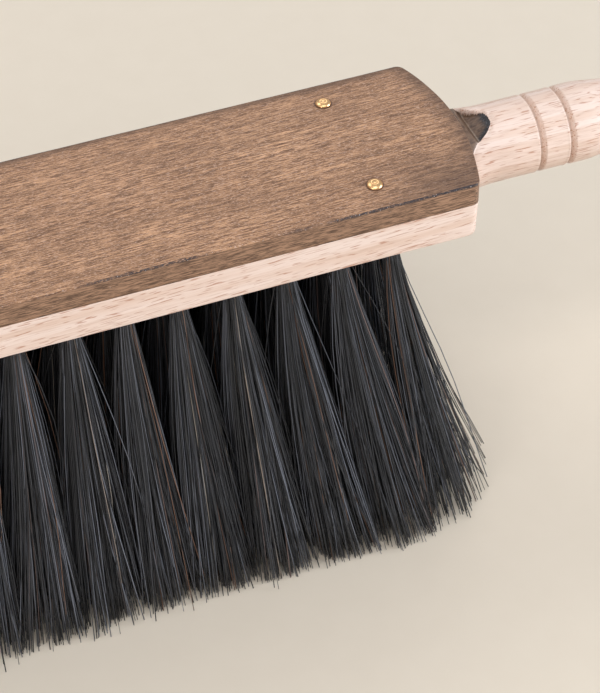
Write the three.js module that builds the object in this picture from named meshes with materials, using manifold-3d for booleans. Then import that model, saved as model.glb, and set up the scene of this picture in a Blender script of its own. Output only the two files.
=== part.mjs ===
// Neck duster brush: wire-drawn horsehair tufts in a beech board, a stained cover board
// nailed over the wires with four brass pins, and a turned beech handle tenoned into the end.
// Millimetres. +X runs from the head to the grip, +Z is up, the trimmed hair tips stand on z = 0.
import * as THREE from 'three';
import { mergeVertices } from 'three/addons/utils/BufferGeometryUtils.js';
import Module from 'manifold-3d';

const wasm = await Module();
wasm.setup();

// ---- driving dimensions -------------------------------------------------------------------
const HEAD_LENGTH = 173.6;     // corner to corner of the head, along X
const HEAD_WIDTH = 45.2;
const END_BULGE = 4.0;         // how far each curved end swells past its corners
const CORNER_RADIUS = 1.6;
const HANDLE_LENGTH = 124.0;   // from the head's curved end to the tip of the grip
const NECK_RADIUS = 9.0;       // the plain turned neck, on which the rest of the profile is based
const BOARD_THICKNESS = 8.7;
const BOARD_END_TAPER = 0.4;   // the board's ends lean in by this much from top to bottom
const COVER_SIDE = 5.8;        // height of the cover's edge above the board
const COVER_CROWN = 0.9;       // extra height along the middle of the cover
const HAIR_HEIGHT = 73.3;      // board underside to the trimmed tips

const COLUMNS = 12;
const ROWS = 4;
const COLUMN_PITCH = 12.4;
const ROW_PITCH = 11.46;
const TUFT_RADIUS = 2.1;       // a bound tuft inside its hole
const SPREAD_X = 1.16;         // how much further apart the tufts are at their tips
const SPREAD_Y = 1.8;

const WIRE_RADIUS = 0.25;
const FOLD_RADIUS = 1.35;      // centre line of the folded hair that the wire passes through
const FOLD_THICKNESS = 0.6;    // radius of the folded hair itself
const PIN_INSET_X = 21.7;
const PIN_Y = 15.16;
const PIN_SHANK_RADIUS = 0.75;
const PIN_LENGTH = 12.0;       // below the head
const PIN_HEAD_RADIUS = 1.75;
const PIN_HEAD_HEIGHT = 0.85;

const GROOVE_STARTS = [17.5, 24.9];   // the two turned grooves, from the head's curved end
const GROOVE_WIDTH = 1.5;
const GROOVE_DEPTH = 0.9;
const TENON = { length: 11.5, width: 14.0, thickness: 5.0 };
const AXIS_DROP = 3.6;         // handle axis below the joint between the two boards
// The V-shaped scoop cut across the handle's root. Each point is the distance from the head's
// curved end and the height above the joint between the two boards.
const SCOOP = { brink: [-1.0, 7.9], valley: [3.2, 2.2], tip: [7.5, 5.0] };

// ---- clearances ---------------------------------------------------------------------------
const HOLE_CLEARANCE = 0.22;   // hair to hole wall
const WIRE_CLEARANCE = 0.3;
const PIN_CLEARANCE = 0.25;
const GLUE_GAP = 0.15;         // round the tenon and at the handle's shoulder
const NEIGHBOUR_GAP = 0.3;     // between two tufts at the tips

// ---- derived placement --------------------------------------------------------------------
const OVERALL = HEAD_LENGTH + 2 * END_BULGE + HANDLE_LENGTH;
const HEAD_X = -OVERALL / 2 + END_BULGE + HEAD_LENGTH / 2;
const END_X = HEAD_X + HEAD_LENGTH / 2 + END_BULGE;
const BOARD_Z = HAIR_HEIGHT;
const SEAT_Z = BOARD_Z + BOARD_THICKNESS;
const AXIS_Z = SEAT_Z - AXIS_DROP;
const HOLE_SIDES = 8;
const WIRE_HOLE_SIDES = 6;
const HOLE_RADIUS = TUFT_RADIUS + HOLE_CLEARANCE;
const LEG_X = FOLD_THICKNESS + WIRE_CLEARANCE + WIRE_RADIUS;
const WIRE_HOLE_RADIUS = (LEG_X + WIRE_RADIUS + WIRE_CLEARANCE) / Math.cos(Math.PI / WIRE_HOLE_SIDES);
const WIRE_TOP_Z = SEAT_Z - 2 * WIRE_RADIUS;
const CHANNEL_DEPTH = 4 * WIRE_RADIUS;
const HOLE_TOP_Z = SEAT_Z - 2.6;
const FOLD_Z = HOLE_TOP_Z - WIRE_CLEARANCE - FOLD_THICKNESS - FOLD_RADIUS;
const LOOP_Z = FOLD_Z + FOLD_RADIUS - FOLD_THICKNESS - WIRE_CLEARANCE - WIRE_RADIUS;
const TUFT_TOP_Z = LOOP_Z - WIRE_RADIUS - 2 * WIRE_CLEARANCE;

const BEECH = new THREE.MeshStandardMaterial({ color: 0xe2c8b4, roughness: 0.6, metalness: 0 });
const STAINED = new THREE.MeshStandardMaterial({ color: 0x8a5f48, roughness: 0.55, metalness: 0 });
const HAIR = new THREE.MeshStandardMaterial({ color: 0x1b1a1c, roughness: 0.5, metalness: 0 });
const BRASS = new THREE.MeshStandardMaterial({ color: 0xc8a050, roughness: 0.3, metalness: 1 });
const WIRE = new THREE.MeshStandardMaterial({ color: 0xb9a070, roughness: 0.4, metalness: 1 });

const group = new THREE.Group();
group.name = 'neck_duster_brush';

// ---- helpers ------------------------------------------------------------------------------
function welded(geometry) {
  const g = geometry.clone();
  g.deleteAttribute('normal');
  g.deleteAttribute('uv');
  return mergeVertices(g, 1e-4);
}

function solid(geometry) {
  const g = welded(geometry);
  const index = g.index ? g.index.array : Uint32Array.from({ length: g.attributes.position.count },
    (_, i) => i);
  return new wasm.Manifold(new wasm.Mesh({
    numProp: 3,
    vertProperties: Float32Array.from(g.attributes.position.array),
    triVerts: Uint32Array.from(index),
  }));
}

function geometryOf(manifold) {
  const m = manifold.getMesh();
  const g = new THREE.BufferGeometry();
  g.setAttribute('position', new THREE.BufferAttribute(Float32Array.from(m.vertProperties), 3));
  g.setIndex(new THREE.BufferAttribute(Uint32Array.from(m.triVerts), 1));
  g.computeVertexNormals();
  return g;
}

function add(name, geometry, material, x = 0, y = 0, z = 0) {
  const mesh = new THREE.Mesh(geometry, material);
  mesh.name = name;
  mesh.position.set(x, y, z);
  group.add(mesh);
}

function box(x0, x1, y0, y1, z0, z1) {
  const g = new THREE.BoxGeometry(x1 - x0, y1 - y0, z1 - z0);
  g.translate((x0 + x1) / 2, (y0 + y1) / 2, (z0 + z1) / 2);
  return solid(g);
}

// A closed skin over rings of equal point count, listed from one end to the other.
function skin(rings) {
  const n = rings[0].length;
  const points = rings.flat();
  const triangles = [];
  for (let r = 0; r + 1 < rings.length; r += 1) {
    for (let i = 0; i < n; i += 1) {
      const a = r * n + i;
      const b = r * n + (i + 1) % n;
      triangles.push(a, b, b + n, a, b + n, a + n);
    }
  }
  const last = (rings.length - 1) * n;
  for (let i = 1; i + 1 < n; i += 1) {
    triangles.push(0, i + 1, i, last, last + i, last + i + 1);
  }
  const g = new THREE.BufferGeometry();
  g.setAttribute('position', new THREE.BufferAttribute(new Float32Array(points.flat()), 3));
  g.setIndex(triangles);
  g.computeVertexNormals();
  return g;
}

// A round bar along a flat path. Path points are [u, w]; place() puts u, w and the sideways
// offset into space. Corners are mitred.
function bar(path, radius, sides, place) {
  const unit = (p, q) => {
    const d = Math.hypot(q[0] - p[0], q[1] - p[1]);
    return [(q[0] - p[0]) / d, (q[1] - p[1]) / d];
  };
  return skin(path.map((p, i) => {
    const t0 = unit(path[Math.max(i - 1, 0)], path[Math.max(i, 1)]);
    const last = path.length - 1;
    const t1 = unit(path[Math.min(i, last - 1)], path[Math.min(i + 1, last)]);
    const n = [-(t0[1] + t1[1]), t0[0] + t1[0]];
    const stretch = 2 / (n[0] * n[0] + n[1] * n[1]);
    return Array.from({ length: sides }, (_, k) => {
      const a = (2 * Math.PI * (k + 0.5)) / sides;
      const c = radius * Math.cos(a) * stretch;
      return place(p[0] + c * n[0], p[1] + c * n[1], radius * Math.sin(a));
    });
  }));
}

function upright(radius, z0, z1, sides, x, y) {
  const g = new THREE.CylinderGeometry(radius, radius, z1 - z0, sides);
  g.rotateX(Math.PI / 2);
  g.rotateZ(Math.PI / sides);
  g.translate(x, y, (z0 + z1) / 2);
  return solid(g);
}

// ---- the head's outline -------------------------------------------------------------------
function endCurve(y, grow) {
  const half = HEAD_WIDTH / 2;
  return HEAD_LENGTH / 2 + grow + END_BULGE * (1 - (y / half) ** 2);
}

// One corner and the curved end beyond it, from the side at -Y round to +Y.
function rightEnd(grow) {
  const half = HEAD_WIDTH / 2 + grow;
  const inner = half - CORNER_RADIUS;
  const corner = [0, 1, 2].map((i) => {
    const t = i / 3;
    const x = (1 - t) ** 2 * (HEAD_LENGTH / 2 + grow - CORNER_RADIUS)
      + 2 * t * (1 - t) * (HEAD_LENGTH / 2 + grow) + t * t * endCurve(inner, grow);
    return [x, -((1 - t * t) * half + t * t * inner)];
  });
  const steps = 12;
  const arc = Array.from({ length: steps + 1 }, (_, i) => {
    const y = -inner + (2 * inner * i) / steps;
    return [endCurve(y, grow), y];
  });
  const back = corner.map(([x, y]) => [x, -y]).reverse();
  return [...corner, ...arc, ...back];
}

// The outline pulled up from z0 to z1; taper pulls the two ends in at the bottom.
function headPrism(z0, z1, grow, taper) {
  const right = rightEnd(grow);
  const outline = [...right, ...right.map(([x, y]) => [-x, -y])];
  const shape = new THREE.Shape(outline.map(([x, y]) => new THREE.Vector2(x, y)));
  const g = new THREE.ExtrudeGeometry(shape, { depth: z1 - z0, bevelEnabled: false });
  const position = g.attributes.position;
  for (let i = 0; i < position.count; i += 1) {
    const k = position.getZ(i) < (z1 - z0) / 2 ? 1 - taper / (HEAD_LENGTH / 2) : 1;
    position.setX(i, position.getX(i) * k);
  }
  g.translate(HEAD_X, 0, z0);
  return solid(g);
}

// ---- where the tufts and pins go ----------------------------------------------------------
const tufts = [];
for (let r = 0; r < ROWS; r += 1) {
  for (let c = 0; c < COLUMNS; c += 1) {
    const x = (c - (COLUMNS - 1) / 2) * COLUMN_PITCH;
    const y = (r - (ROWS - 1) / 2) * ROW_PITCH;
    tufts.push({ name: `tuft_r${r + 1}_c${c + 1}`, x, y });
  }
}
const pins = [];
for (const sx of [-1, 1]) {
  for (const sy of [-1, 1]) {
    pins.push({ x: HEAD_X + sx * (HEAD_LENGTH / 2 - PIN_INSET_X), y: sy * PIN_Y });
  }
}
const PIN_HEAD_Z = SEAT_Z + COVER_SIDE + 0.05
  + COVER_CROWN * (1 - ((PIN_Y - PIN_HEAD_RADIUS) / (HEAD_WIDTH / 2)) ** 2);
const pinHole = (p, z0, z1) => upright(PIN_SHANK_RADIUS + PIN_CLEARANCE, z0, z1, 10, p.x, p.y);

// ---- beech board: stepped tuft holes, wire channels, mortise, pin holes --------------------
function tuftBoard() {
  let board = headPrism(BOARD_Z, SEAT_Z, 0, BOARD_END_TAPER);
  const cuts = [];
  for (const t of tufts) {
    const x = HEAD_X + t.x;
    cuts.push(upright(HOLE_RADIUS, BOARD_Z - 1, HOLE_TOP_Z, HOLE_SIDES, x, t.y));
    cuts.push(upright(WIRE_HOLE_RADIUS, HOLE_TOP_Z - 1, SEAT_Z + 1, WIRE_HOLE_SIDES, x, t.y));
  }
  const reach = ((COLUMNS - 1) / 2) * COLUMN_PITCH + 4.5;
  const side = WIRE_RADIUS + WIRE_CLEARANCE;
  for (let r = 0; r < ROWS; r += 1) {
    const y = (r - (ROWS - 1) / 2) * ROW_PITCH;
    cuts.push(box(HEAD_X - reach, HEAD_X + reach, y - side, y + side,
      SEAT_Z - CHANNEL_DEPTH, SEAT_Z + 1));
  }
  const w = TENON.width / 2 + GLUE_GAP;
  const h = TENON.thickness / 2 + GLUE_GAP;
  cuts.push(box(END_X - TENON.length - 1.2, END_X + 3, -w, w, AXIS_Z - h, AXIS_Z + h));
  for (const p of pins) cuts.push(pinHole(p, PIN_HEAD_Z - PIN_LENGTH - 0.4, SEAT_Z + 1));
  board = board.subtract(wasm.Manifold.union(cuts));
  add('tuft_board', geometryOf(board), BEECH);
}

// ---- stained cover board: crowned across its width -----------------------------------------
function coverBoard() {
  const half = HEAD_WIDTH / 2;
  const top = SEAT_Z + COVER_SIDE;
  const steps = 12;
  const crown = (y) => top + COVER_CROWN * (1 - (y / half) ** 2);
  const section = [new THREE.Vector2(-half - 2, SEAT_Z), new THREE.Vector2(half + 2, SEAT_Z)];
  section.push(new THREE.Vector2(half + 2, top - 0.7), new THREE.Vector2(half, top - 0.35));
  for (let i = 0; i <= steps; i += 1) {
    const y = (half - 0.45) * (1 - (2 * i) / steps);
    section.push(new THREE.Vector2(y, crown(y)));
  }
  section.push(new THREE.Vector2(-half, top - 0.35), new THREE.Vector2(-half - 2, top - 0.7));
  const length = OVERALL;
  const g = new THREE.ExtrudeGeometry(new THREE.Shape(section), { depth: length, bevelEnabled: false });
  // the shape's x, y and the pull become world Y, Z and X
  g.applyMatrix4(new THREE.Matrix4().makeBasis(new THREE.Vector3(0, 1, 0),
    new THREE.Vector3(0, 0, 1), new THREE.Vector3(1, 0, 0)));
  g.translate(HEAD_X - length / 2, 0, 0);
  let cover = solid(g).intersect(headPrism(SEAT_Z, top + COVER_CROWN + 1, 0, 0));
  const holes = pins.map((p) => pinHole(p, SEAT_Z - 1, top + COVER_CROWN + 1));
  cover = cover.subtract(wasm.Manifold.union(holes));
  add('cover_board', geometryOf(cover), STAINED);
}

// ---- turned handle ------------------------------------------------------------------------
// Radius factors along the profile, before, between and after the grooves. Distances after the
// second groove are fractions of what is left of the handle.
const ROOT = [[-6, 1.08], [2.0, 1.06], [4.2, 1.025], [7.0, 1.0]];
const GRIP = [[0.02, 1.014], [0.045, 1.01], [0.07, 0.985], [0.10, 0.93], [0.14, 0.87], [0.20, 0.82],
  [0.30, 0.79], [0.42, 0.82], [0.54, 0.91], [0.66, 1.03], [0.77, 1.12], [0.85, 1.14],
  [0.915, 1.07], [0.96, 0.89], [0.985, 0.64], [0.997, 0.35]];

function handleProfile() {
  const points = [[-6, 0]];
  for (const [d, k] of ROOT) points.push([d, k * NECK_RADIUS]);
  for (const d of GROOVE_STARTS) {
    points.push([d, NECK_RADIUS], [d + 0.2, NECK_RADIUS - GROOVE_DEPTH],
      [d + GROOVE_WIDTH - 0.5, NECK_RADIUS - GROOVE_DEPTH], [d + GROOVE_WIDTH, NECK_RADIUS]);
  }
  const from = GROOVE_STARTS[1] + GROOVE_WIDTH;
  for (const [f, k] of GRIP) points.push([from + f * (HANDLE_LENGTH - from), k * NECK_RADIUS]);
  points.push([HANDLE_LENGTH, 0]);
  return points.map(([d, r]) => new THREE.Vector2(r, d));
}

function scoopCut() {
  const clear = 3 * NECK_RADIUS;
  const { brink, valley, tip } = SCOOP;
  const outline = [brink, valley, tip, [tip[0] + 0.3, clear], [brink[0], clear]];
  const shape = new THREE.Shape(outline.map(([x, z]) => new THREE.Vector2(x, z)));
  const g = new THREE.ExtrudeGeometry(shape, { depth: 2 * clear, bevelEnabled: false });
  // the shape's x, y and the pull become world X, Z and -Y
  g.applyMatrix4(new THREE.Matrix4().makeBasis(new THREE.Vector3(1, 0, 0),
    new THREE.Vector3(0, 0, 1), new THREE.Vector3(0, -1, 0)));
  g.translate(END_X, clear, SEAT_Z);
  return solid(g);
}

function handle() {
  const lathe = new THREE.LatheGeometry(handleProfile(), 40);
  lathe.rotateZ(-Math.PI / 2);            // the lathe's +Y becomes +X
  lathe.translate(END_X, 0, AXIS_Z);
  const slope = BOARD_END_TAPER / BOARD_THICKNESS;
  const below = 20;
  const head = headPrism(SEAT_Z, SEAT_Z + 20, GLUE_GAP, 0)
    .add(headPrism(SEAT_Z - below, SEAT_Z, GLUE_GAP, slope * below));
  const tenon = box(END_X - TENON.length, END_X + 3, -TENON.width / 2, TENON.width / 2,
    AXIS_Z - TENON.thickness / 2, AXIS_Z + TENON.thickness / 2);
  const body = solid(lathe).subtract(head).add(tenon).subtract(scoopCut());
  add('handle', geometryOf(body), BEECH);
}

// ---- one hair tuft: a fan below the board, and the fold that the wire holds -----------------
function tuftGeometry(t) {
  const octagon = (cx, cy, z, a, b, power) => Array.from({ length: HOLE_SIDES }, (_, k) => {
    const angle = (2 * Math.PI * (k + 0.5)) / HOLE_SIDES;
    const c = Math.cos(angle);
    const s = Math.sin(angle);
    return [cx + a * Math.sign(c) * Math.abs(c) ** power, cy + b * Math.sign(s) * Math.abs(s) ** power, z];
  });
  const tipX = t.x * (SPREAD_X - 1);
  const tipY = t.y * (SPREAD_Y - 1);
  const halfX = (COLUMN_PITCH * SPREAD_X - NEIGHBOUR_GAP) / 2;
  const halfY = (ROW_PITCH * SPREAD_Y - NEIGHBOUR_GAP) / 2;
  const fan = skin([
    octagon(tipX, tipY, 0, halfX, halfY, 0.5),
    octagon(0, 0, BOARD_Z - 0.8, TUFT_RADIUS, TUFT_RADIUS, 1),
    octagon(0, 0, TUFT_TOP_Z, TUFT_RADIUS, TUFT_RADIUS, 1),
  ]);
  const steps = 4;
  const path = [[FOLD_RADIUS, TUFT_TOP_Z - 0.4]];
  for (let i = 0; i <= steps; i += 1) {
    const a = (Math.PI * i) / steps;
    path.push([FOLD_RADIUS * Math.cos(a), FOLD_Z + FOLD_RADIUS * Math.sin(a)]);
  }
  path.push([-FOLD_RADIUS, TUFT_TOP_Z - 0.4]);
  const fold = bar(path, FOLD_THICKNESS, 5, (u, w, side) => [side, u, w]);
  return geometryOf(solid(fan).add(solid(fold)));
}

// ---- one drawing wire: along its channel and down through every fold ------------------------
function wireGeometry() {
  const half = ((COLUMNS - 1) / 2) * COLUMN_PITCH;
  const path = [[-half - 4, WIRE_TOP_Z]];
  for (let c = 0; c < COLUMNS; c += 1) {
    const x = c * COLUMN_PITCH - half;
    path.push([x - LEG_X, WIRE_TOP_Z], [x - LEG_X, LOOP_Z], [x + LEG_X, LOOP_Z], [x + LEG_X, WIRE_TOP_Z]);
  }
  path.push([half + 4, WIRE_TOP_Z]);
  return bar(path, WIRE_RADIUS, 6, (u, w, side) => [u, -side, w]);
}

// ---- one round-head brass pin, its shank pointing down ---------------------------------------
function pinGeometry() {
  const r = PIN_HEAD_RADIUS;
  const h = PIN_HEAD_HEIGHT;
  const s = PIN_SHANK_RADIUS;
  const profile = [[0, -PIN_LENGTH], [s, 1.8 - PIN_LENGTH], [s, 0], [r * 0.97, 0], [r, h * 0.18],
    [r * 0.93, h * 0.5], [r * 0.72, h * 0.82], [r * 0.4, h * 0.98], [r * 0.15, h], [0, h * 0.9]];
  const g = new THREE.LatheGeometry(profile.map(([x, z]) => new THREE.Vector2(x, z)), 12);
  g.rotateX(Math.PI / 2);
  return geometryOf(solid(g));
}

tuftBoard();
coverBoard();
handle();
pins.forEach((p, i) => add(`pin_${i + 1}`, pinGeometry(), BRASS, p.x, p.y, PIN_HEAD_Z));
for (let r = 0; r < ROWS; r += 1) {
  add(`wire_r${r + 1}`, wireGeometry(), WIRE, HEAD_X, (r - (ROWS - 1) / 2) * ROW_PITCH, 0);
}
tufts.forEach((t) => add(t.name, tuftGeometry(t), HAIR, HEAD_X + t.x, t.y, 0));

export default group;
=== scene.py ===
"""Neck duster brush: fine surfaces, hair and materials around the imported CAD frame.

Sizes are written in millimetres and turned into metres when a mesh is made. +X runs from the
head to the grip, +Z is up and the trimmed hair tips stand on z = 0.
"""

import math

import bpy
import numpy as np
from mathutils import Matrix, Vector


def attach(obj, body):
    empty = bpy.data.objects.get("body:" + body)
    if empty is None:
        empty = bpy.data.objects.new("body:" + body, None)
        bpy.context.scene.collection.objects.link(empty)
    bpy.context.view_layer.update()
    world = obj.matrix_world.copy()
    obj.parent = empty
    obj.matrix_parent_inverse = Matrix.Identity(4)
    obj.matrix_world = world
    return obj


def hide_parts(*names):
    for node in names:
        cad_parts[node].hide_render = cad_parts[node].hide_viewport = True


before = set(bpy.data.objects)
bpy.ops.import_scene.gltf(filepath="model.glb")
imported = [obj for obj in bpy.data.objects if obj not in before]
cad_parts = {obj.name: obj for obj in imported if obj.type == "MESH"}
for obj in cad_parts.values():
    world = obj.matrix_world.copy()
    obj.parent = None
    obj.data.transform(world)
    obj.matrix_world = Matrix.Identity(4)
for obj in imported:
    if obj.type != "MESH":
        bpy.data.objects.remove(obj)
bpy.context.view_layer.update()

# ---- sizes: the pieces as in the CAD part, the fine shape of holes and hair chosen here ----------
MM = 0.001
HEAD_LENGTH, HEAD_WIDTH, END_BULGE, CORNER_RADIUS = 173.6, 45.2, 4.0, 1.6
HANDLE_LENGTH, TIP_LENGTH, NECK_RADIUS = 124.0, 12.0, 9.0
BOARD_THICKNESS, BOARD_END_TAPER, COVER_SIDE, COVER_CROWN = 8.7, 0.4, 5.8, 0.9
HAIR_HEIGHT, COLUMNS, ROWS, COLUMN_PITCH, ROW_PITCH = 73.3, 12, 4, 12.4, 11.46
TUFT_RADIUS, SPREAD_X, SPREAD_Y = 2.1, 1.16, 1.8
PIN_INSET_X, PIN_Y, PIN_HEAD_RADIUS, PIN_HEAD_HEIGHT = 21.7, 15.16, 1.75, 0.85
PIN_SHANK_RADIUS, PIN_LENGTH, PIN_POINT = 0.75, 12.0, 1.8
TENON_LENGTH, TENON_WIDTH, TENON_THICKNESS, GLUE_GAP = 11.5, 14.0, 5.0, 0.15
GROOVE_STARTS = (17.5, 24.9)
HOLE_RADIUS, WIRE_HOLE_RADIUS, HOLE_SOFTENING = 2.28, 1.8, 0.17
CHANNEL_HALF_WIDTH, CHANNEL_DEPTH, CHANNEL_OVERRUN = 0.55, 1.0, 4.5
# hair: how many in an outer and an inner tuft, and how much fewer at the head's two ends
OUTER_HAIRS, INNER_HAIRS, END_SHARE = 660, 380, 0.62
HAIR_RADIUS, LOCKS, LOOSE_SHARE, BUNCH = 0.122, 30, 0.30, 0.78
HAIR_REACH = 45.0   # no hair goes further out than this on either side
HALF = HEAD_WIDTH / 2
TIP_START = HANDLE_LENGTH - TIP_LENGTH   # where the grip's rounded end begins
OVERALL = HEAD_LENGTH + 2 * END_BULGE + HANDLE_LENGTH
HEAD_X = -OVERALL / 2 + END_BULGE + HEAD_LENGTH / 2
END_X = HEAD_X + HEAD_LENGTH / 2 + END_BULGE
BOARD_Z = HAIR_HEIGHT
SEAT_Z = BOARD_Z + BOARD_THICKNESS
TOP_Z = SEAT_Z + COVER_SIDE
AXIS_Z = SEAT_Z - 3.6       # the handle's axis
HOLE_TOP_Z = SEAT_Z - 2.6   # where a tuft's hole steps down to the wire's
FOLD_Z = HOLE_TOP_Z - 0.9   # where the hair turns over the wire


# ---- mesh helpers --------------------------------------------------------------------------------
def build(name, verts, faces, material=None, **attributes):
    """One mesh object from points in mm and a list of face arrays, each (count, corners)."""
    mesh = bpy.data.meshes.new(name)
    points = np.asarray(verts, dtype=np.float64).reshape(-1, 3) * MM
    mesh.vertices.add(len(points))
    mesh.vertices.foreach_set("co", points.ravel())
    faces = [np.asarray(f, dtype=np.int32) for f in faces if len(f)]
    corners = np.concatenate([f.ravel() for f in faces])
    sizes = np.concatenate([np.full(len(f), f.shape[1]) for f in faces])
    mesh.loops.add(len(corners))
    mesh.loops.foreach_set("vertex_index", corners)
    mesh.polygons.add(len(sizes))
    mesh.polygons.foreach_set("loop_start", np.concatenate([[0], np.cumsum(sizes)[:-1]]))
    mesh.polygons.foreach_set("use_smooth", np.ones(len(sizes), dtype=bool))
    mesh.update(calc_edges=True)
    for key, values in attributes.items():
        mesh.attributes.new(key, "FLOAT", "POINT").data.foreach_set(
            "value", np.asarray(values, dtype=np.float32).ravel())
    obj = bpy.data.objects.new(name, mesh)
    bpy.context.collection.objects.link(obj)
    if material:
        mesh.materials.append(material)
    return obj


def skin(rings):
    """Points and faces of a closed skin over rings (count, around, 3), listed upwards with each
    ring counter-clockwise seen from above, or any turned version of that. A fan closes each end."""
    count, around, _ = rings.shape
    r, i = np.meshgrid(np.arange(count - 1), np.arange(around), indexing="ij")
    a, b = r * around + i, r * around + (i + 1) % around
    quads = np.stack([a, b, b + around, a + around], -1).reshape(-1, 4)
    k = np.arange(around)
    first, last = count * around, count * around + 1
    low = np.stack([np.full(around, first), (k + 1) % around, k], -1)
    base = (count - 1) * around
    high = np.stack([np.full(around, last), base + k, base + (k + 1) % around], -1)
    points = np.concatenate([rings.reshape(-1, 3), [rings[0].mean(0), rings[-1].mean(0)]])
    return points, [quads, low, high]


def gather(name, parts):
    """One object from several skins, each given as points and its three kinds of face."""
    offsets = np.cumsum([0] + [len(points) for points, _ in parts[:-1]])
    faces = [np.concatenate([f[kind] + offset for (_, f), offset in zip(parts, offsets)])
             for kind in range(3)]
    return build(name, np.concatenate([points for points, _ in parts]), faces)


def sharpen(obj, degrees=35):
    obj.data.set_sharp_from_angle(angle=math.radians(degrees))


def wave(t, seed, waves=7, low=0.05, high=1.0):
    """A smooth random line: a sum of sines of t with random frequencies and phases."""
    rng = np.random.default_rng(seed)
    freq = rng.uniform(low, high, waves)[:, None]
    phase = rng.uniform(0, 6.28, waves)[:, None]
    return np.sin(freq * np.ravel(t)[None] + phase).mean(0).reshape(np.shape(t)) * 1.6


def step(low, high, x):
    t = np.clip((x - low) / (high - low), 0, 1)
    return t * t * (3 - 2 * t)


# ---- shader helpers --------------------------------------------------------------------------------
class Graph:
    """Short names for making and joining shader nodes."""

    def __init__(self, name, **principled):
        self.material = bpy.data.materials.new(name)
        self.material.use_nodes = True
        self.tree = self.material.node_tree
        self.bsdf = self.tree.nodes["Principled BSDF"]
        for key, value in principled.items():
            self.put(self.bsdf, key.replace("_", " "), value)

    def put(self, node, key, value):
        socket = node.inputs[key]
        if isinstance(value, bpy.types.NodeSocket):
            self.tree.links.new(value, socket)
        elif isinstance(value, (tuple, list)) and len(value) == 3 and socket.type == "RGBA":
            socket.default_value = (*value, 1)
        else:
            socket.default_value = value

    def node(self, kind, inputs=(), **props):
        node = self.tree.nodes.new(kind)
        for key, value in props.items():
            setattr(node, key, value)
        for key, value in dict(inputs).items():
            self.put(node, key, value)
        return node

    def math(self, op, a, b=0.0, clamp=False):
        return self.node("ShaderNodeMath", {0: a, 1: b}, operation=op, use_clamp=clamp).outputs[0]

    def ramp(self, x, low, high, to_low=0.0, to_high=1.0):
        """Smooth step from (low, to_low) to (high, to_high), held level outside."""
        return self.node("ShaderNodeMapRange", {"Value": x, "From Min": low, "From Max": high,
                                                "To Min": to_low, "To Max": to_high},
                         interpolation_type="SMOOTHSTEP").outputs[0]

    def mix(self, factor, a, b, blend="MIX"):
        node = self.node("ShaderNodeMix", data_type="RGBA", blend_type=blend)
        self.put(node, 0, factor)
        self.put(node, 6, a)
        self.put(node, 7, b)
        return node.outputs[2]

    def place(self):
        """Object coordinates in millimetres, and their three parts."""
        co = self.node("ShaderNodeTexCoord").outputs["Object"]
        mm = self.node("ShaderNodeVectorMath", {0: co, 1: (1 / MM,) * 3},
                       operation="MULTIPLY").outputs[0]
        parts = self.node("ShaderNodeSeparateXYZ", {0: mm}).outputs
        return mm, parts[0], parts[1], parts[2]

    def noise(self, mm, size, detail=2.0, rough=0.5, offset=(0, 0, 0), distortion=0.0):
        """Noise whose features are about size = (x, y, z) mm."""
        at = self.node("ShaderNodeVectorMath", {0: mm, 1: tuple(1 / s for s in size), 2: offset},
                       operation="MULTIPLY_ADD").outputs[0]
        return self.node("ShaderNodeTexNoise", {"Vector": at, "Scale": 1.0, "Detail": detail,
                                                "Roughness": rough, "Distortion": distortion}).outputs[0]

    def bump(self, height, distance, strength=1.0):
        normal = self.node("ShaderNodeBump", {"Height": height, "Distance": distance * MM,
                                              "Strength": strength}).outputs[0]
        self.put(self.bsdf, "Normal", normal)

    def attribute(self, name):
        return self.node("ShaderNodeAttribute", attribute_name=name).outputs["Fac"]


def beech_colour(g, mm, tilt, seed):
    """Pale pinkish beech: soft growth bands along the grain, fine fibres and short red-brown rays."""
    lean = g.node("ShaderNodeMapping", {"Vector": mm, "Rotation": (0, tilt, tilt * 0.6),
                                        "Location": (seed, 0, seed * 0.3)}).outputs[0]
    band = g.noise(lean, (70, 2.2, 1.8), 3, 0.55, distortion=0.4)
    fibre = g.noise(lean, (11, 0.34, 0.34), 3, 0.6)
    rays = g.noise(lean, (3.6, 0.30, 0.30), 0.6, 0.4, offset=(7, 3, 1))
    gate = g.noise(lean, (9, 2.2, 2.2), 1, 0.5, offset=(1, 9, 4))
    ray = g.math("MULTIPLY", g.ramp(rays, 0.605, 0.70), g.ramp(gate, 0.26, 0.46))
    colour = g.mix(g.ramp(band, 0.32, 0.68), (0.83, 0.665, 0.585), (0.75, 0.555, 0.455))
    colour = g.mix(g.ramp(fibre, 0.45, 0.72, 0, 0.50), colour, (0.58, 0.38, 0.28))
    colour = g.mix(g.math("MULTIPLY", ray, 0.70), colour, (0.43, 0.175, 0.095))
    return colour, ray, fibre


def beech_material():
    g = Graph("beech", Roughness=0.5, IOR=1.45)
    mm, *_ = g.place()
    colour, ray, fibre = beech_colour(g, mm, 0.035, 11)
    g.put(g.bsdf, "Base Color", colour)
    g.bump(g.math("SUBTRACT", g.math("MULTIPLY", fibre, 0.5), ray), 0.025, 0.5)
    return g.material


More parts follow.
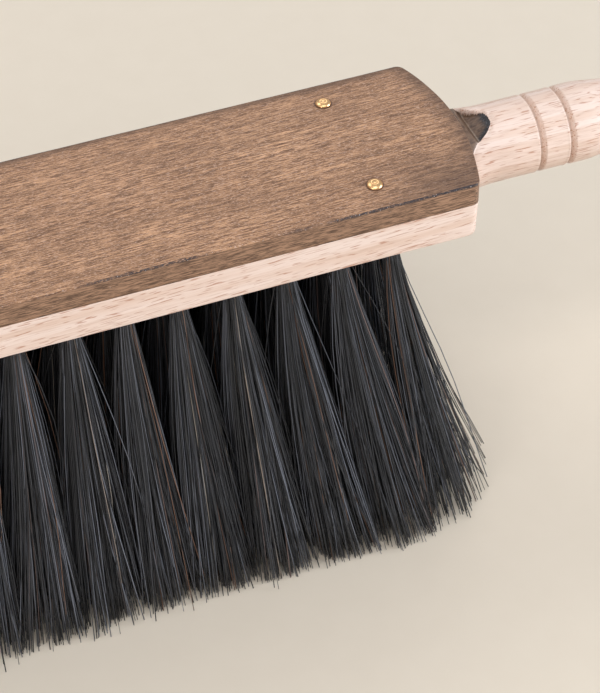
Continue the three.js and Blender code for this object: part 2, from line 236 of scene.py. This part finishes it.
def handle_material():
    """Beech with a hand-rubbed polish; the scoop takes the cover's stain, black at its torn rim, with a
    painted pale highlight along its crease; painted shade darkens the grooves by their depth.
    """
    g = Graph("handle_beech", Roughness=0.46, IOR=1.48, Coat_Weight=0.06, Coat_Roughness=0.3)
    mm, *_ = g.place()
    colour, ray, fibre = beech_colour(g, mm, -0.03, 47)
    stain = g.ramp(g.attribute("stain"), 0.78, 0.94)
    char = g.attribute("char")
    blot = g.noise(mm, (1.4, 0.9, 0.9), 4, 0.6)
    stained = g.mix(g.ramp(blot, 0.35, 0.7), (0.185, 0.112, 0.072), (0.075, 0.040, 0.026))
    grit = g.noise(mm, (0.35, 0.35, 0.35), 2, 0.6)
    black = g.mix(g.ramp(grit, 0.58, 0.70), (0.010, 0.010, 0.014), (0.20, 0.19, 0.22))
    stained = g.mix(g.math("MULTIPLY", char, 0.95), stained, black)
    # painted highlight: a pale line along the scoop's crease
    stained = g.mix(g.math("MULTIPLY", g.attribute("crease"), 0.45), stained, (0.50, 0.40, 0.31))
    # painted shade: the grooves are darker by their depth
    colour = g.mix(g.math("MULTIPLY", g.attribute("groove"), 0.36), colour, (0.42, 0.26, 0.175))
    g.put(g.bsdf, "Base Color", g.mix(stain, colour, stained))
    height = g.math("ADD", g.math("MULTIPLY", g.math("SUBTRACT", fibre, ray), 0.3),
                    g.math("MULTIPLY", g.math("MULTIPLY", grit, char), 4.0))
    g.bump(height, 0.03, 0.5)
    return g.material


def stained_material():
    """Brown stain over fibrous wood under a satin varnish: streaks along the grain, painted shade
    along the +Y arris and around the curved ends, a dark ring round each pin head, a broken
    blue-black line on the long arrises with painted glints along it and a few pale flecks."""
    g = Graph("stained_wood", IOR=1.45, Coat_Weight=0.06, Coat_Roughness=0.35)
    mm, x, y, z = g.place()

    def turn(angle):
        return g.node("ShaderNodeMapping", {"Vector": mm, "Rotation": (0, 0, angle)}).outputs[0]

    one = g.noise(turn(0.05), (2.3, 0.18, 0.18), 3, 0.64, distortion=0.15)
    two = g.noise(turn(-0.03), (4.6, 0.28, 0.28), 4, 0.66, offset=(3, 1, 2), distortion=0.15)
    streak = g.noise(turn(0.02), (15, 0.36, 0.36), 3, 0.6, offset=(2, 3, 5))
    wide = g.noise(turn(0.03), (30, 1.6, 1.6), 3, 0.55, offset=(1, 7, 0), distortion=0.5)
    cloud = g.noise(mm, (22, 9, 8), 3, 0.55, offset=(0, 5, 0))
    tone = g.math("ADD", g.math("MULTIPLY", one, 0.45), g.math("MULTIPLY", two, 0.55))
    light = g.mix(g.ramp(cloud, 0.32, 0.68), (0.66, 0.365, 0.200), (0.50, 0.270, 0.145))
    top = g.mix(g.ramp(tone, 0.415, 0.585), (0.140, 0.066, 0.034), light)
    top = g.mix(g.ramp(wide, 0.42, 0.66, 0, 0.36), top, (0.185, 0.095, 0.050))
    top = g.mix(g.ramp(streak, 0.54, 0.72, 0, 0.55), top, (0.150, 0.062, 0.030))
    speck = g.noise(mm, (0.62, 0.15, 0.30), 1, 0.5, offset=(6, 6, 2))
    top = g.mix(g.ramp(speck, 0.58, 0.68, 0, 0.55), top, (0.70, 0.47, 0.36))
    top = g.mix(g.ramp(speck, 0.40, 0.31, 0, 0.60), top, (0.110, 0.046, 0.026))
    side = g.mix(g.ramp(tone, 0.42, 0.58), (0.105, 0.055, 0.032), (0.370, 0.210, 0.127))
    is_side = g.ramp(z, TOP_Z - 0.15, TOP_Z - 0.55)
    colour = g.mix(is_side, top, side)
    across = g.math("ABSOLUTE", y)
    # painted shade: a dull dark band along the +Y arris and around the curved ends, deeper towards the
    # ends on the -Y side; the cover is also darker in a ring round each pin head
    bulge = g.math("MULTIPLY", g.math("POWER", g.math("DIVIDE", across, HALF), 2.0), END_BULGE)
    from_middle = g.math("ABSOLUTE", g.math("SUBTRACT", x, HEAD_X))
    to_end = g.math("SUBTRACT", g.math("SUBTRACT", HEAD_LENGTH / 2 + END_BULGE, bulge), from_middle)
    far = g.ramp(g.math("ADD", y, g.math("MULTIPLY", cloud, 1.5)), HALF - 2.4, HALF + 0.2, 0, 0.55)
    end = g.ramp(g.math("ADD", to_end, g.math("MULTIPLY", cloud, 3.0)), 7.0, 1.6, 0, 0.62)
    corner = g.math("MULTIPLY", g.ramp(to_end, 34, 2, 0, 0.66), g.ramp(y, -4, -20))
    pin_x = g.math("SUBTRACT", from_middle, HEAD_LENGTH / 2 - PIN_INSET_X)
    pin_y = g.math("SUBTRACT", across, PIN_Y)
    to_pin = g.math("SQRT", g.math("ADD", g.math("POWER", pin_x, 2.0), g.math("POWER", pin_y, 2.0)))
    ring = g.ramp(to_pin, PIN_HEAD_RADIUS + 0.55, PIN_HEAD_RADIUS + 0.05, 0, 0.85)
    shade = g.math("MAXIMUM", g.math("MAXIMUM", far, end), g.math("MAXIMUM", corner, ring))
    shade = g.math("MULTIPLY", shade, g.math("SUBTRACT", 1.0, is_side))
    colour = g.mix(shade, colour, (0.070, 0.036, 0.024))
    # the dark line where the varnish gathered along the arris, broken along its length
    near = g.math("MULTIPLY", g.ramp(across, HALF - 0.50, HALF - 0.28),
                  g.ramp(z, TOP_Z - 0.62, TOP_Z - 0.30))
    length = g.noise(mm, (13, 60, 60), 3, 0.6, offset=(0, 4, 4))
    broken = g.ramp(g.math("ADD", length, g.ramp(to_end, 26, 6, 0, 0.25)), 0.40, 0.62)
    fray = g.ramp(g.noise(mm, (0.6, 0.30, 0.30), 2, 0.5), 0.30, 0.52)
    line = g.math("MULTIPLY", near, g.math("MULTIPLY", broken, fray))
    colour = g.mix(g.math("MULTIPLY", line, 0.88), colour, (0.012, 0.013, 0.022))
    # painted glints: pale specks along the arrises; pale flecks are scattered over all faces as well
    sparkle = g.noise(mm, (0.30, 0.25, 0.25), 1, 0.5, offset=(5, 5, 5))
    glint = g.math("MULTIPLY", near, g.ramp(sparkle, 0.70, 0.76))
    pale_fleck = g.ramp(g.noise(mm, (0.42, 0.30, 0.42), 1, 0.5, offset=(8, 1, 6)), 0.795, 0.83)
    pale = g.math("MAXIMUM", glint, g.math("MULTIPLY", pale_fleck, 0.7))
    colour = g.mix(pale, colour, (0.62, 0.60, 0.60))
    g.put(g.bsdf, "Base Color", colour)
    g.put(g.bsdf, "Roughness", g.ramp(tone, 0.3, 0.7, 0.66, 0.50))
    g.bump(tone, 0.05, 0.4)
    return g.material


def brass_material(name, rough):
    g = Graph(name, Metallic=1.0)
    mm, *_ = g.place()
    haze = g.noise(mm, (0.8, 0.8, 0.8), 3, 0.6)
    colour = g.mix(g.ramp(haze, 0.35, 0.75), (1.0, 0.64, 0.32), (0.92, 0.54, 0.25))
    g.put(g.bsdf, "Base Color", colour)
    g.put(g.bsdf, "Roughness", g.ramp(haze, 0.3, 0.7, rough, rough + 0.05))
    return g.material


def hair_material():
    """Black horsehair; the tone attribute picks the odd brown or pale hair, and the grey-blue hairs that
    carry a painted bluish sheen.
    """
    g = Graph("horsehair", Roughness=0.27, IOR=1.62)
    tone = g.attribute("tone")
    colour = g.mix(g.ramp(tone, 0.0, 0.30), (0.0340, 0.0325, 0.0340), (0.046, 0.0445, 0.0480))
    # grey-blue hairs: painted bluish sheen
    colour = g.mix(g.ramp(tone, 0.30, 0.50), colour, (0.155, 0.160, 0.185))
    colour = g.mix(g.ramp(tone, 0.55, 0.80), colour, (0.19, 0.098, 0.060))
    colour = g.mix(g.ramp(tone, 0.85, 1.0), colour, (0.50, 0.44, 0.38))
    g.put(g.bsdf, "Base Color", colour)
    g.put(g.bsdf, "Specular Tint", (0.80, 0.89, 1.0))
    return g.material


BEECH = beech_material()
HANDLE = handle_material()
STAINED = stained_material()
PIN_BRASS = brass_material("brass", 0.27)
WIRE_BRASS = brass_material("wire", 0.3)
HAIR = hair_material()


# ---- the two boards --------------------------------------------------------------------------------
def head_outline():
    """The head's plan, counter-clockwise: straight sides, quadratic corners and curved ends with
    x = L/2 + bulge * (1 - (2y/W)^2)."""
    inner = HALF - CORNER_RADIUS

    def bend(y):
        return HEAD_LENGTH / 2 + END_BULGE * (1 - (y / HALF) ** 2)

    t = np.linspace(0, 1, 10)[:-1]
    cx = (1 - t) ** 2 * (HEAD_LENGTH / 2 - CORNER_RADIUS)
    cx = cx + 2 * t * (1 - t) * HEAD_LENGTH / 2 + t * t * bend(inner)
    cy = -((1 - t * t) * HALF + t * t * inner)
    ay = np.linspace(-inner, inner, 70)
    right = np.concatenate([np.stack([cx, cy], 1), np.stack([bend(ay), ay], 1),
                            np.stack([cx, -cy], 1)[::-1]])
    sx = np.linspace(HEAD_LENGTH / 2 - CORNER_RADIUS, -HEAD_LENGTH / 2 + CORNER_RADIUS, 150)[1:-1]
    top = np.stack([sx, np.full_like(sx, HALF)], 1)
    half_turn = np.concatenate([right, top])
    return np.concatenate([half_turn, -half_turn])


OUTLINE = head_outline()
TANGENT = np.roll(OUTLINE, -1, 0) - np.roll(OUTLINE, 1, 0)
NORMAL = np.stack([TANGENT[:, 1], -TANGENT[:, 0]], 1) / np.linalg.norm(TANGENT, axis=1)[:, None]
# scales of the rings that close a flat face towards its middle
SHRINK = 1 - np.array([0.004, 0.012, 0.03, 0.07, 0.14, 0.24, 0.36, 0.5, 0.64, 0.78, 0.9, 0.97])


def crown(y):
    """Height of the cover's top: a parabola across the head."""
    return TOP_Z + COVER_CROWN * (1 - (y / HALF) ** 2)


def ring_at(inset, z, scale=1.0, taper=0.0):
    """The outline moved in by inset and scaled, at height z, a number or a function of y. The taper
    is how far an end leans in from the top of the board to its underside."""
    xy = (OUTLINE - NORMAL * np.reshape(inset, (-1, 1))) * scale
    z = np.broadcast_to(z(xy[:, 1]) if callable(z) else z, len(xy))
    x = xy[:, 0] * (1 - taper * (SEAT_Z - z) / BOARD_THICKNESS / (HEAD_LENGTH / 2))
    return np.stack([x + HEAD_X, xy[:, 1], z], 1)


def cover_mesh():
    """Rings of the outline: a flat seat, upright sides, a quarter-round arris whose radius varies
    and the crowned top."""
    s = np.arange(len(OUTLINE))
    arris = 0.42 + 0.10 * wave(s, 3, low=0.05, high=0.5)
    foot = SEAT_Z + 0.12
    rings = [ring_at(0.12, SEAT_Z, k) for k in (*SHRINK[::-1], 1.0)] + [ring_at(0.0, foot)]
    for t in np.linspace(0, 1, 6)[1:]:
        rings.append(ring_at(0.0, lambda y: foot + t * (crown(y) - arris - foot)))
    for a in np.linspace(0, math.pi / 2, 7)[1:]:
        rings.append(ring_at(arris * (1 - math.cos(a)), lambda y: crown(y) - arris * (1 - math.sin(a))))
    rings += [ring_at(arris, crown, k) for k in SHRINK]
    return build("cover_surface", *skin(np.array(rings)), STAINED)


def board_mesh():
    """Rings of the outline with a quarter-round lower arris, wider at the ends, less the stepped
    holes, the wires' channels and the mortise."""
    ends = step(HEAD_LENGTH / 2 - 2.5, HEAD_LENGTH / 2 + 0.5, np.abs(OUTLINE[:, 0]))
    low = 0.45 + 0.35 * ends
    taper = BOARD_END_TAPER
    rings = [ring_at(low, BOARD_Z, k, taper) for k in SHRINK[::-1]]
    for a in np.linspace(math.pi / 2, 0, 8):
        rings.append(ring_at(low * (1 - math.cos(a)), BOARD_Z + low * (1 - math.sin(a)), 1, taper))
    for t in np.linspace(0, 1, 6)[1:]:
        rings.append(ring_at(0, BOARD_Z + low + t * (SEAT_Z - 0.1 - BOARD_Z - low), 1, taper))
    rings += [ring_at(0.1, SEAT_Z, k) for k in (1.0, *SHRINK)]
    board = build("board_surface", *skin(np.array(rings)), BEECH)
    for cutter in (hole_cutter(), channel_cutter()):
        cut = board.modifiers.new("cut", "BOOLEAN")
        cut.operation, cut.object, cut.solver = "DIFFERENCE", cutter, "EXACT"
        mesh = bpy.data.meshes.new_from_object(board.evaluated_get(bpy.context.evaluated_depsgraph_get()))
        board.modifiers.clear()
        board.data = mesh
        bpy.data.objects.remove(cutter)
    sharpen(board)
    return board


def tuft_places():
    """Row and column numbers from 1, the hole's centre and the middle of the trimmed tips."""
    for r in range(ROWS):
        for c in range(COLUMNS):
            x, y = (c - (COLUMNS - 1) / 2) * COLUMN_PITCH, (r - (ROWS - 1) / 2) * ROW_PITCH
            yield r + 1, c + 1, (HEAD_X + x, y), (HEAD_X + x * SPREAD_X, y * SPREAD_Y)


def hole_cutter():
    """A plug of six circles in every hole: flared at the rim, wide for the hair, narrow for the
    wire."""
    a = np.linspace(0, 2 * math.pi, 28, endpoint=False)
    rim = HOLE_RADIUS + HOLE_SOFTENING
    steps = [(rim, BOARD_Z - 1), (rim, BOARD_Z - 0.01), (HOLE_RADIUS, BOARD_Z + 0.25),
             (HOLE_RADIUS, HOLE_TOP_Z), (WIRE_HOLE_RADIUS, HOLE_TOP_Z), (WIRE_HOLE_RADIUS, SEAT_Z + 1)]
    plug = np.array([np.stack([r * np.cos(a), r * np.sin(a), np.full_like(a, z)], 1) for r, z in steps])
    return gather("hole_cutter", [skin(plug + (*hole, 0)) for _, _, hole, _ in tuft_places()])


def box_rings(x0, x1, y0, y1, z0, z1):
    return np.array([[(x0, y0, z), (x1, y0, z), (x1, y1, z), (x0, y1, z)] for z in (z0, z1)], dtype=float)


def channel_cutter():
    """A shallow channel along each row for its wire, and the mortise for the handle's tenon."""
    reach = (COLUMNS - 1) / 2 * COLUMN_PITCH + CHANNEL_OVERRUN
    boxes = []
    for r in range(ROWS):
        y = (r - (ROWS - 1) / 2) * ROW_PITCH
        boxes.append((HEAD_X - reach, HEAD_X + reach, y - CHANNEL_HALF_WIDTH, y + CHANNEL_HALF_WIDTH,
                      SEAT_Z - CHANNEL_DEPTH, SEAT_Z + 1))
    w, h = TENON_WIDTH / 2 + GLUE_GAP, TENON_THICKNESS / 2 + GLUE_GAP
    boxes.append((END_X - TENON_LENGTH - 1.2, END_X + 3, -w, w, AXIS_Z - h, AXIS_Z + h))
    return gather("channel_cutter", [skin(box_rings(*box)) for box in boxes])


# ---- turned handle ---------------------------------------------------------------------------------
# Distance from the head's curved end, and radius as a share of the neck's.
PROFILE = np.array([(-6, 1.085), (0, 1.07), (2.0, 1.055), (4.2, 1.022), (7.0, 1.0), (12, 1.0), (17, 1.0),
                    (24, 1.0), (27, 1.008), (29.5, 1.014), (31.5, 1.006), (33.2, 0.978), (36.2, 0.93),
                    (40.1, 0.87), (46.0, 0.82), (55.7, 0.79), (67.4, 0.82), (79.1, 0.91), (90.8, 1.03),
                    (101.5, 1.12), (109.3, 1.14), (115.6, 1.07)])
# Where the scoop's rim runs: distance from the head, its edge on the -Y and on the +Y side.
RIM = np.array([(-4, -9.5, 9.0), (0.7, -8.3, 7.4), (2.3, -6.9, 5.4), (3.5, -6.2, 3.9), (4.9, -5.4, 2.4),
                (6.2, -4.5, 1.3), (7.1, -3.5, 0.6), (7.6, -2.2, -0.7)])


def handle_radius(d):
    """The profile smoothed over 3 mm, with an elliptical end sqrt(1 - t^2), t from 0 to 1 along it,
    less the two grooves; and how deep a point lies in a groove, from 0 to 1."""
    fine = np.linspace(PROFILE[0, 0], HANDLE_LENGTH, 2601)
    raw = np.interp(fine, PROFILE[:, 0], PROFILE[:, 1])
    kernel = np.hanning(61)
    soft = np.convolve(np.pad(raw, 30, "edge"), kernel / kernel.sum(), "valid")
    tip = np.sqrt(np.clip(1 - ((d - TIP_START) / TIP_LENGTH) ** 2, 0, 1))
    r = np.interp(d, fine, soft) * NECK_RADIUS
    r = np.where(d > TIP_START, np.interp(TIP_START, fine, soft) * NECK_RADIUS * tip, r)
    groove = np.zeros_like(d)
    for start in GROOVE_STARTS:
        sunk = np.interp(d, [start, start + 0.14, start + 0.75, start + 1.15, start + 1.6],
                         [0, 0.92, 0.95, 0.50, 0])
        lip = 0.06 * np.exp(-((d - start + 0.3) / 0.22) ** 2)
        r, groove = r - sunk + lip, np.maximum(groove, sunk / 0.95)
    return r, groove


def handle_mesh():
    """Rings of the turned profile about the handle's axis. The first rings follow the head's end
    curve. In the scoop each point drops to a rounded maximum of 6.7 - 1.36 d and
    2.2 + 0.66 (d - 3.3) mm above the joint between the boards, d being its distance from the head,
    inside the rim. Just outside the rim the wood sinks by up to 0.3 mm, as a Gaussian of the distance."""
    d = np.concatenate([np.arange(0, 9, 0.13), np.arange(9, 17.2, 0.55), np.arange(17.2, 27, 0.12),
                        np.arange(27, TIP_START, 0.9),
                        HANDLE_LENGTH - TIP_LENGTH * (1 - np.sin(np.linspace(0, math.pi / 2, 26)))])
    turn = np.linspace(0, 2 * math.pi, 320, endpoint=False)
    d, a = np.meshgrid(d, turn + 0.5 * np.cos(turn), indexing="ij")
    r, groove = handle_radius(d)
    y, z = r * np.cos(a), r * np.sin(a) + AXIS_Z
    lean = BOARD_END_TAPER * np.clip(SEAT_Z - z, 0, None) / BOARD_THICKNESS
    start = -END_BULGE * (y / HALF) ** 2 - lean + 0.06
    d = np.where(d < 3, start + d / 3 * (3 - start), d)
    torn = 0.30 * wave(d, 8, 9, 2.0, 7.0) + 0.12 * wave(d, 9, 9, 7.0, 16.0)
    low = np.interp(d, RIM[:, 0], RIM[:, 1]) + 0.08 * wave(d, 5, 9, 1.5, 6)
    high = np.interp(d, RIM[:, 0], RIM[:, 2]) + torn
    front = 7.55 + 0.10 * wave(y, 6, 9, 2, 8)
    inside = step(-0.10, 0.30, y - low) * step(-0.22, 0.22, high - y) * step(-0.08, 0.26, front - d)
    inside = inside * (z > AXIS_Z)
    left = 6.7 - 1.36 * d
    right = 2.2 + 0.66 * (d - 3.3) + 0.10 * np.clip(-y - 2.5, 0, None)
    floor = SEAT_Z + np.logaddexp(left * 1.8, right * 1.8) / 1.8
    floor = floor + 0.05 * wave(y * 3 + d, 4, 9, 0.5, 3)
    brink = np.minimum(np.minimum(y - low, front - d), 3.0)
    char = inside * step(2.3, 0.9, brink + 0.45 * wave(d + 2 * y, 12, 9, 1, 5)) * step(2.4, 4.2, d)
    grit = 0.12 * wave(d * 3 + y * 7, 14, 12, 1.0, 4.0) * char
    outside = np.clip(np.maximum(np.maximum(low - y, d - front), y - high), 0, None)
    moat = 0.30 * np.exp(-(outside / 0.85) ** 2) * (1 - inside) * (z > AXIS_Z) * step(9.5, 8.5, d)
    z = z - moat - inside * np.clip(z - floor - grit, 0, None)
    ramp = step(0.10, 0.45, inside)
    # the mask of the painted pale highlight along the scoop's crease
    crease = inside * np.exp(-((d - 3.35 + 0.05 * wave(y, 2, 9, 1, 4)) / 0.16) ** 2)
    rings = np.stack([END_X + d, y, z], -1)
    # Known fault: listed from the grip's end, these rings make the turned part's faces point inwards.
    points, faces = skin(rings[::-1].copy())
    fields = dict(stain=ramp, char=char, groove=groove, crease=crease)
    fields = {key: np.concatenate([v[::-1].ravel(), [0, 0]]) for key, v in fields.items()}
    return join(build("handle_surface", points, faces, HANDLE, **fields), tenon_mesh())


def tenon_mesh():
    """The flat tongue that is glued into the board; hidden once the brush is together."""
    x0, x1 = END_X - TENON_LENGTH, END_X - 0.5
    w, h = TENON_WIDTH / 2, TENON_THICKNESS / 2

    def ring(x):
        return [(x, -w, AXIS_Z - h), (x, w, AXIS_Z - h), (x, w, AXIS_Z + h), (x, -w, AXIS_Z + h)]

    points, faces = skin(np.array([ring(x0), ring(x1)], dtype=float))
    plain = np.zeros(len(points))
    return build("tenon", points, faces, HANDLE, stain=plain, char=plain, groove=plain, crease=plain)


def join(*objects):
    with bpy.context.temp_override(active_object=objects[0], selected_editable_objects=list(objects)):
        bpy.ops.object.join()
    return objects[0]


# ---- brass pins --------------------------------------------------------------------------------------
def pin_mesh(name, x, y):
    """A profile turned about z: point, shank, an elliptical dome and a small dimple, sheared to
    the slope of the cover."""
    r, h, s = PIN_HEAD_RADIUS, PIN_HEAD_HEIGHT, PIN_SHANK_RADIUS
    t = np.linspace(0.06, 1.12, 12)
    dome = [(r * math.cos(k), 0.10 + (h - 0.10) * math.sin(k) / math.sin(1.12)) for k in t]
    profile = [(0.02, -PIN_LENGTH), (s, PIN_POINT - PIN_LENGTH), (s, -0.02), (r * 0.93, 0.0),
               (r * 0.985, 0.04), *dome,
               (0.66, h * 0.99), (0.52, h * 0.93), (0.34, h * 0.86), (0.16, h * 0.83), (0.04, h * 0.825)]
    a = np.linspace(0, 2 * math.pi, 72, endpoint=False)
    rings = np.array([np.stack([q * np.cos(a), q * np.sin(a), np.full_like(a, z)], 1) for q, z in profile])
    tilt = 2 * COVER_CROWN * y / HALF ** 2
    rings[..., 2] -= rings[..., 1] * tilt
    obj = build(name, *skin(rings + (x, y, float(crown(y)) + 0.02)), PIN_BRASS)
    sharpen(obj, 40)
    return obj


# ---- horsehair -----------------------------------------------------------------------------------------
def tuft_mesh(name, row, column, hole, tip, rng):
    """Two to seven hundred three-sided hairs. Each runs from the fold over the wire, through the hole
    and out along hole + (tip - hole) * s^1.25, s from 0 at the board to 1 at the tips, with a bow
    of sin(pi s) that it partly shares with its lock and a slight wave of its own."""
    outer, last = row in (1, ROWS), column in (1, COLUMNS)
    n = OUTER_HAIRS if outer else INNER_HAIRS
    n = int(n * END_SHARE) if last else n
    lock = rng.integers(0, LOCKS, n)
    lock_angle = rng.uniform(0, 6.28, LOCKS)
    lock_radius = np.sqrt(rng.uniform(0.02, 1, LOCKS))
    loose = rng.random(n) < LOOSE_SHARE
    angle = np.where(loose, rng.uniform(0, 6.28, n), lock_angle[lock] + rng.normal(0, 0.24, n))
    loose_share = np.sqrt(rng.random(n))
    lock_share = np.clip(lock_radius[lock] + rng.normal(0, 0.08, n), 0, 1.02)
    share = np.where(loose, loose_share, lock_share)
    way = np.stack([np.cos(angle), np.sin(angle)], 1)
    root = way * (share * TUFT_RADIUS * BUNCH)[:, None]
    wide = np.array([COLUMN_PITCH * SPREAD_X * 0.56, ROW_PITCH * SPREAD_Y * 0.49])
    square = way / np.abs(way).max(1, keepdims=True) ** 0.8
    end = square * share[:, None] * wide + rng.normal(0, 0.95, (LOCKS, 2))[lock]
    end = end + rng.normal(0, 0.42, (n, 2))
    if last:
        side = 1 if column == COLUMNS else -1
        end[:, 0] += side * np.where(rng.random(n) < 0.5, np.clip(rng.exponential(2.6, n), 0, 5.5), -1.2)
    stray = rng.random(n) < 0.035
    end[stray] += np.clip(rng.normal(0, 3.5, (stray.sum(), 2)), -6, 6) * (0.5 if last else 1.3, 0.5)
    end = end + (np.array(tip) - hole)
    # the brush's corners are rounded by wear
    from_middle = np.abs(end[:, 0] + hole[0] - HEAD_X)
    end[:, 1] -= (end[:, 1] + hole[1]) * np.clip(from_middle - 68, 0, None) ** 2 / 2300
    bow = rng.normal(0, 0.8, (LOCKS, 2))[lock] + rng.normal(0, 0.55, (n, 2))
    bow = bow + stray[:, None] * rng.normal(0, 2.4, (n, 2))
    z_end = 0.1 + np.abs(rng.normal(0, 0.4, n)) + np.abs(rng.normal(0, 0.2, LOCKS))[lock]
    z_end = np.where(rng.random(n) < 0.06, z_end + rng.uniform(1, 12, n), z_end)
    s = np.array([0, 0.07, 0.18, 0.32, 0.46, 0.60, 0.74, 0.87, 1.0])[None, :, None]
    phase = rng.uniform(0, 6.28, (n, 1, 2))
    swing = rng.normal(0, 0.45, (n, 1, 2))
    out = root[:, None] + (end - root)[:, None] * s ** 1.25 + bow[:, None] * np.sin(math.pi * s)
    out = out + swing * s * (1.3 - s) * np.sin(7.0 * s + phase)
    down = BOARD_Z + (z_end[:, None, None] - BOARD_Z) * s
    path = np.concatenate([out, down], 2)
    across = np.where(root[:, 1] < 0, -1.0, 1.0)
    fold_y = across * (0.25 + 0.18 * np.abs(root[:, 1]))
    fold = np.stack([root[:, 0] * 0.3, fold_y, np.full(n, FOLD_Z)], 1)
    path = np.concatenate([fold[:, None], path], 1) + (*hole, 0)
    path[..., 1] = np.clip(path[..., 1], -HAIR_REACH, HAIR_REACH)
    count = path.shape[1]
    thick = HAIR_RADIUS * rng.uniform(0.65, 1.35, n)[:, None] * np.linspace(1.0, 0.92, count)[None]
    turn = rng.uniform(0, 2.1, n)[:, None] + np.array([0, 2.0944, 4.1888])
    ring = np.stack([np.cos(turn), np.sin(turn), np.zeros_like(turn)], -1)
    points = path[:, :, None] + ring[:, None] * thick[:, :, None, None]
    base = np.arange(n)[:, None, None] * count * 3
    j, k = np.meshgrid(np.arange(count - 1), np.arange(3), indexing="ij")
    a, b = base + j * 3 + k, base + j * 3 + (k + 1) % 3
    quads = np.stack([a, a + 3, b + 3, b], -1).reshape(-1, 4)
    top = base[:, 0] + np.array([0, 1, 2])
    low = base[:, 0] + (count - 1) * 3 + np.array([2, 1, 0])
    pick = rng.random(n)
    tone = np.clip(rng.uniform(-0.05, 0.25, n) + rng.normal(0, 0.14, LOCKS)[lock], 0, 0.50)
    # about a fifth of the hairs take the grey-blue tone, a painted bluish sheen
    tone = np.where(pick < 0.22, rng.uniform(0.38, 0.54, n), tone)
    tone = np.where(pick < 0.04, rng.uniform(0.66, 0.84, n), tone)
    tone = np.where(pick > 0.990, rng.uniform(0.90, 1.0, n), tone)
    return build(name, points, [quads, top, low], HAIR, tone=np.repeat(tone, count * 3))


# ---- camera, light and floor -------------------------------------------------------------------------
def aim(obj, at, target):
    obj.location = at
    obj.rotation_euler = (Vector(target) - Vector(at)).to_track_quat("-Z", "Y").to_euler()


def camera():
    """A camera with no roll above the -Y side, looking down and across the head, turned a little
    towards the handle."""
    data = bpy.data.cameras.new("camera")
    data.lens, data.sensor_width = 143.88, 36.0
    data.clip_start, data.clip_end = 0.05, 10
    obj = bpy.data.objects.new("camera", data)
    bpy.context.collection.objects.link(obj)
    azimuth, elevation = math.radians(-21.347), math.radians(43.376)
    back = Vector((math.sin(azimuth) * math.cos(elevation), -math.cos(azimuth) * math.cos(elevation),
                   math.sin(elevation)))
    right = Vector((math.cos(azimuth), math.sin(azimuth), 0))
    turn = Matrix((right, back.cross(right), back)).transposed()
    obj.matrix_world = Matrix.Translation((-0.17956, -0.43797, 0.47506)) @ turn.to_4x4()
    bpy.context.scene.camera = obj


def area_light(name, at, target, size, power, colour):
    data = bpy.data.lights.new(name, "AREA")
    data.size, data.energy, data.color = size, power, colour
    obj = bpy.data.objects.new(name, data)
    bpy.context.collection.objects.link(obj)
    aim(obj, at, target)


def studio():
    g = Graph("floor", Roughness=0.9)
    mm, *_ = g.place()
    grain = g.noise(mm, (9, 9, 9), 4, 0.6)
    g.put(g.bsdf, "Base Color", g.mix(grain, (0.70, 0.61, 0.50), (0.73, 0.64, 0.53)))
    floor = build("floor", *skin(box_rings(-3000, 3000, -3000, 3000, -0.4, 0)), g.material)
    sharpen(floor)
    area_light("key", (-0.10, -0.70, 1.25), (-0.03, 0, 0.05), 0.9, 6.2, (1.0, 0.99, 0.98))
    area_light("left", (-0.85, -0.70, 0.50), (-0.03, 0, 0.05), 0.5, 2.6, (1.0, 0.99, 0.98))
    area_light("side", (1.05, -0.45, 0.40), (-0.02, 0, 0.06), 0.65, 13, (0.82, 0.91, 1.0))
    area_light("back", (-0.75, 0.75, 1.2), (-0.03, 0, 0.05), 0.8, 4.5, (0.98, 0.99, 1.0))
    area_light("card", (0.45, 1.0, 1.08), (-0.03, 0, 0.08), 0.7, 2.6, (1.0, 1.0, 1.0))
    world = bpy.data.worlds.new("studio")
    bpy.context.scene.world = world
    world.use_nodes = True
    world.node_tree.nodes["Background"].inputs[0].default_value = (0.95, 0.97, 1.0, 1)
    world.node_tree.nodes["Background"].inputs[1].default_value = 0.46
    bpy.context.scene.view_settings.view_transform = "Standard"


def dress(obj, node):
    """Puts a finished piece in place of its CAD node."""
    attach(obj, "root")
    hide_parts(node)


camera()
studio()
cover = cover_mesh()
sharpen(cover, 50)
dress(cover, "cover_board")
dress(board_mesh(), "tuft_board")
dress(handle_mesh(), "handle")
pin_sides = ((-1, -1), (-1, 1), (1, -1), (1, 1))
for number, (side_x, side_y) in enumerate(pin_sides, 1):
    spot = (HEAD_X + side_x * (HEAD_LENGTH / 2 - PIN_INSET_X), side_y * PIN_Y)
    dress(pin_mesh(f"pin_surface_{number}", *spot), f"pin_{number}")
for row, column, hole, tip in tuft_places():
    rng = np.random.default_rng(100 * row + column)
    tuft = tuft_mesh(f"hair_r{row}_c{column}", row, column, hole, tip, rng)
    dress(tuft, f"tuft_r{row}_c{column}")
for r in range(ROWS):
    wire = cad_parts[f"wire_r{r + 1}"]
    wire.data.materials.clear()
    wire.data.materials.append(WIRE_BRASS)
